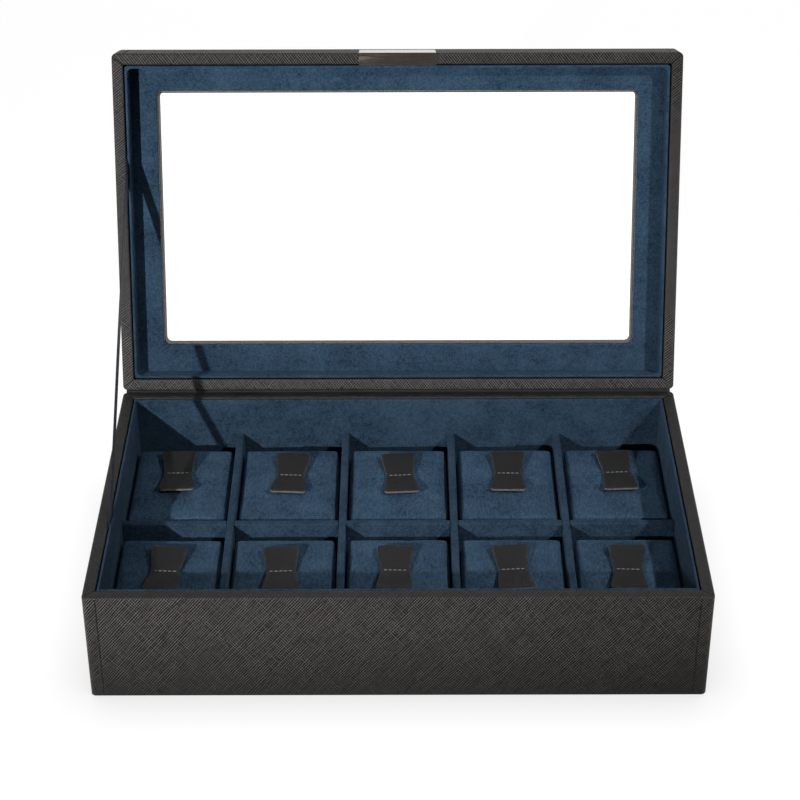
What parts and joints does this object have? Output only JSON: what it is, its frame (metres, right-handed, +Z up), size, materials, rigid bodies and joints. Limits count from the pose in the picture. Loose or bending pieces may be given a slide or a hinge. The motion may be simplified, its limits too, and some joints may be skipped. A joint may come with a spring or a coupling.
{
  "type": "watch box",
  "caption": "Leather-covered watch box with a hinged glass-topped lid on a ribbon stay, suede-lined compartments and lift-out cushions with leather tabs.",
  "frame": {"origin": "centre of the tray's underside, on the surface that the box stands on", "axes": "+X to the right along the hinge, +Y to the back, +Z up; the front face is at -Y"},
  "size_m": [0.33, 0.2887, 0.2583],
  "materials": {
    "shell_leather": "cross-hatched grain, satin",
    "strip_leather": "smooth, matt",
    "tab_leather": "smooth with raw edges",
    "board": "raw fibre board",
    "suede": "brushed suede nap",
    "cushion_suede": "brushed suede nap over foam",
    "felt": "felt",
    "window_glass": "clear",
    "clasp_metal": "dark nickel, satin",
    "magnet": "plated",
    "thread": "waxed thread",
    "ribbon": "woven, satin"
  },
  "bodies": {
    "base": {"base_front_board": "board", "base_back_board": "board", "base_left_board": "board", "base_right_board": "board", "base_bottom_board": "board", "base_front_leather": "shell_leather", "base_wrap_leather": "shell_leather", "underside_felt": "felt", "lining_front": "suede", "lining_back": "suede", "lining_left": "suede", "lining_right": "suede", "tray_floor": "suede", "long_divider": "suede", "cross_divider_1": "suede", "cross_divider_2": "suede", "cross_divider_3": "suede", "cross_divider_4": "suede", "base_front_stitches": "thread", "base_magnet": "magnet", "hinge_strip": "strip_leather", "ribbon_stay": "ribbon"},
    "lid": {"lid_front_board": "board", "lid_back_board": "board", "lid_left_board": "board", "lid_right_board": "board", "lid_window_front_member": "board", "lid_window_back_member": "board", "lid_window_left_member": "board", "lid_window_right_member": "board", "lid_front_leather": "shell_leather", "lid_wrap_leather": "shell_leather", "lid_top_leather": "shell_leather", "suede_window_frame": "suede", "lid_side_lining": "suede", "lid_hem_stitches": "thread", "glass_pane": "window_glass", "clasp_plate": "clasp_metal"},
    "rear_cushion_1": {"rear_cushion_1": "cushion_suede", "rear_tab_1": "tab_leather"},
    "rear_cushion_2": {"rear_cushion_2": "cushion_suede", "rear_tab_2": "tab_leather"},
    "rear_cushion_3": {"rear_cushion_3": "cushion_suede", "rear_tab_3": "tab_leather"},
    "rear_cushion_4": {"rear_cushion_4": "cushion_suede", "rear_tab_4": "tab_leather"},
    "rear_cushion_5": {"rear_cushion_5": "cushion_suede", "rear_tab_5": "tab_leather"},
    "front_cushion_1": {"front_cushion_1": "cushion_suede", "front_tab_1": "tab_leather"},
    "front_cushion_2": {"front_cushion_2": "cushion_suede", "front_tab_2": "tab_leather"},
    "front_cushion_3": {"front_cushion_3": "cushion_suede", "front_tab_3": "tab_leather"},
    "front_cushion_4": {"front_cushion_4": "cushion_suede", "front_tab_4": "tab_leather"},
    "front_cushion_5": {"front_cushion_5": "cushion_suede", "front_tab_5": "tab_leather"}
  },
  "joints": [
    {"name": "lid_hinge", "type": "hinge", "parent": "base", "child": "lid", "pos_m": [0, 0.1, 0.068], "axis": [-1, 0, 0], "range_deg": [-108.5, 0], "deforming": ["ribbon_stay", "hinge_strip"]},
    {"name": "rear_cushion_1_lift", "type": "slide", "parent": "base", "child": "rear_cushion_1", "axis": [0, 0, 1], "range_m": [0, 0.07]},
    {"name": "rear_cushion_2_lift", "type": "slide", "parent": "base", "child": "rear_cushion_2", "axis": [0, 0, 1], "range_m": [0, 0.07]},
    {"name": "rear_cushion_3_lift", "type": "slide", "parent": "base", "child": "rear_cushion_3", "axis": [0, 0, 1], "range_m": [0, 0.07]},
    {"name": "rear_cushion_4_lift", "type": "slide", "parent": "base", "child": "rear_cushion_4", "axis": [0, 0, 1], "range_m": [0, 0.07]},
    {"name": "rear_cushion_5_lift", "type": "slide", "parent": "base", "child": "rear_cushion_5", "axis": [0, 0, 1], "range_m": [0, 0.07]},
    {"name": "front_cushion_1_lift", "type": "slide", "parent": "base", "child": "front_cushion_1", "axis": [0, 0, 1], "range_m": [0, 0.07]},
    {"name": "front_cushion_2_lift", "type": "slide", "parent": "base", "child": "front_cushion_2", "axis": [0, 0, 1], "range_m": [0, 0.07]},
    {"name": "front_cushion_3_lift", "type": "slide", "parent": "base", "child": "front_cushion_3", "axis": [0, 0, 1], "range_m": [0, 0.07]},
    {"name": "front_cushion_4_lift", "type": "slide", "parent": "base", "child": "front_cushion_4", "axis": [0, 0, 1], "range_m": [0, 0.07]},
    {"name": "front_cushion_5_lift", "type": "slide", "parent": "base", "child": "front_cushion_5", "axis": [0, 0, 1], "range_m": [0, 0.07]}
  ]
}
